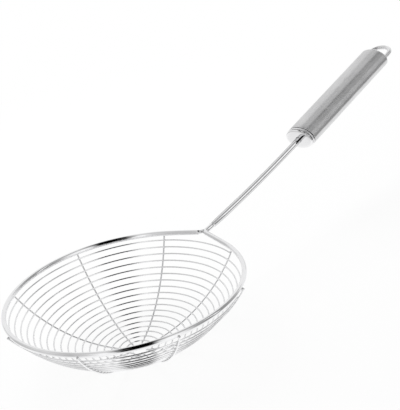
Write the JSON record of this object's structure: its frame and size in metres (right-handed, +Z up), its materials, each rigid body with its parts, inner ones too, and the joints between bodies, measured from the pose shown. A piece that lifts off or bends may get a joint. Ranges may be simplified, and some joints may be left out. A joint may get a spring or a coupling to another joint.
{
  "type": "wire skimmer",
  "caption": "Spiral wire bowl on bent ribs under a thick rim wire, with a rod stem and a hollow oval handle ending in a hanging loop, for lifting food out of hot liquid.",
  "frame": {"origin": "under the middle of the whole skimmer, level with the bowl's lowest point", "axes": "+X from the bowl towards the handle's loop, +Z up out of the bowl's open side, rim level"},
  "size_m": [0.4122, 0.1646, 0.1008],
  "materials": {
    "polished_steel": "polished",
    "satin_steel": "satin"
  },
  "bodies": {
    "root": {"rim_wire": "polished_steel", "spiral_wire": "polished_steel", "rib_1": "polished_steel", "rib_2": "polished_steel", "rib_3": "polished_steel", "rib_4": "polished_steel", "rib_5": "polished_steel", "rib_6": "polished_steel", "rib_7": "polished_steel", "rib_8": "polished_steel", "stem_rod": "polished_steel", "front_cap": "polished_steel", "handle_tube": "satin_steel", "rear_cap": "satin_steel", "hanging_loop": "polished_steel"}
  },
  "joints": []
}
